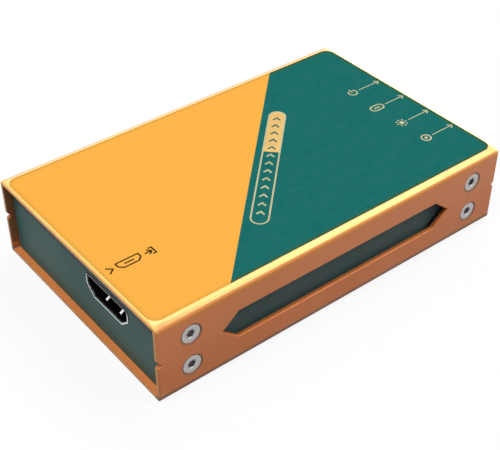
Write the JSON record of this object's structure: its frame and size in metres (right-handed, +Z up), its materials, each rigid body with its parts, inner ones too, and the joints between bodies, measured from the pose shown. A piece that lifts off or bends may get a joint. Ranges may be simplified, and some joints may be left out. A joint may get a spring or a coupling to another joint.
{
  "type": "video capture box",
  "caption": "Flat orange sheet-metal box with a video socket in one recessed end, and a data socket, audio jack and lamps in the other, that passes video on to a computer.",
  "frame": {"origin": "middle of the underside, on the surface that the box stands on", "axes": "+X along the length, from the video socket end to the data socket end; +Z up; +Y to the left seen along +X"},
  "size_m": [0.092, 0.058, 0.0194],
  "materials": {
    "orange_paint": "satin",
    "overlay_print": "satin print in orange and teal",
    "teal_paint": "satin",
    "screw_steel": "turned",
    "plain_steel": "zinc plated",
    "plated_steel": "nickel plated",
    "black_plastic": "moulded",
    "gold_contacts": "gold plated",
    "board_laminate": "solder resist",
    "clear_plastic": "clear",
    "lamp_green": "moulded",
    "lamp_amber": "moulded",
    "chip_resin": "moulded",
    "pad_rubber": "soft",
    "sink_aluminium": "plain",
    "ferrite": "moulded",
    "ceramic": "fired"
  },
  "bodies": {
    "root": {"top_cover": "orange_paint", "bottom_cover": "orange_paint", "top_overlay": "overlay_print", "chassis_tray": "teal_paint", "front_panel": "teal_paint", "rear_panel": "teal_paint", "cover_screws": "screw_steel", "clinch_nuts": "plain_steel", "board_standoffs": "plain_steel", "main_board": "board_laminate", "board_screws": "screw_steel", "video_socket_shell": "plated_steel", "video_socket_insulator": "black_plastic", "video_socket_contacts": "gold_contacts", "data_socket_shell": "plated_steel", "data_socket_insulator": "black_plastic", "data_socket_contacts": "gold_contacts", "audio_jack_body": "black_plastic", "audio_jack_terminals": "plated_steel", "power_light_pipe": "clear_plastic", "status_light_pipe": "clear_plastic", "power_lamp": "lamp_green", "status_lamp": "lamp_amber", "video_receiver_chip": "chip_resin", "capture_chip": "chip_resin", "thermal_pad": "pad_rubber", "chip_heat_sink": "sink_aluminium", "memory_chip": "chip_resin", "flash_chip": "chip_resin", "audio_chip": "chip_resin", "clock_crystals": "plated_steel", "power_inductors": "ferrite", "bulk_capacitors": "sink_aluminium", "chip_capacitors": "ceramic"}
  },
  "joints": []
}
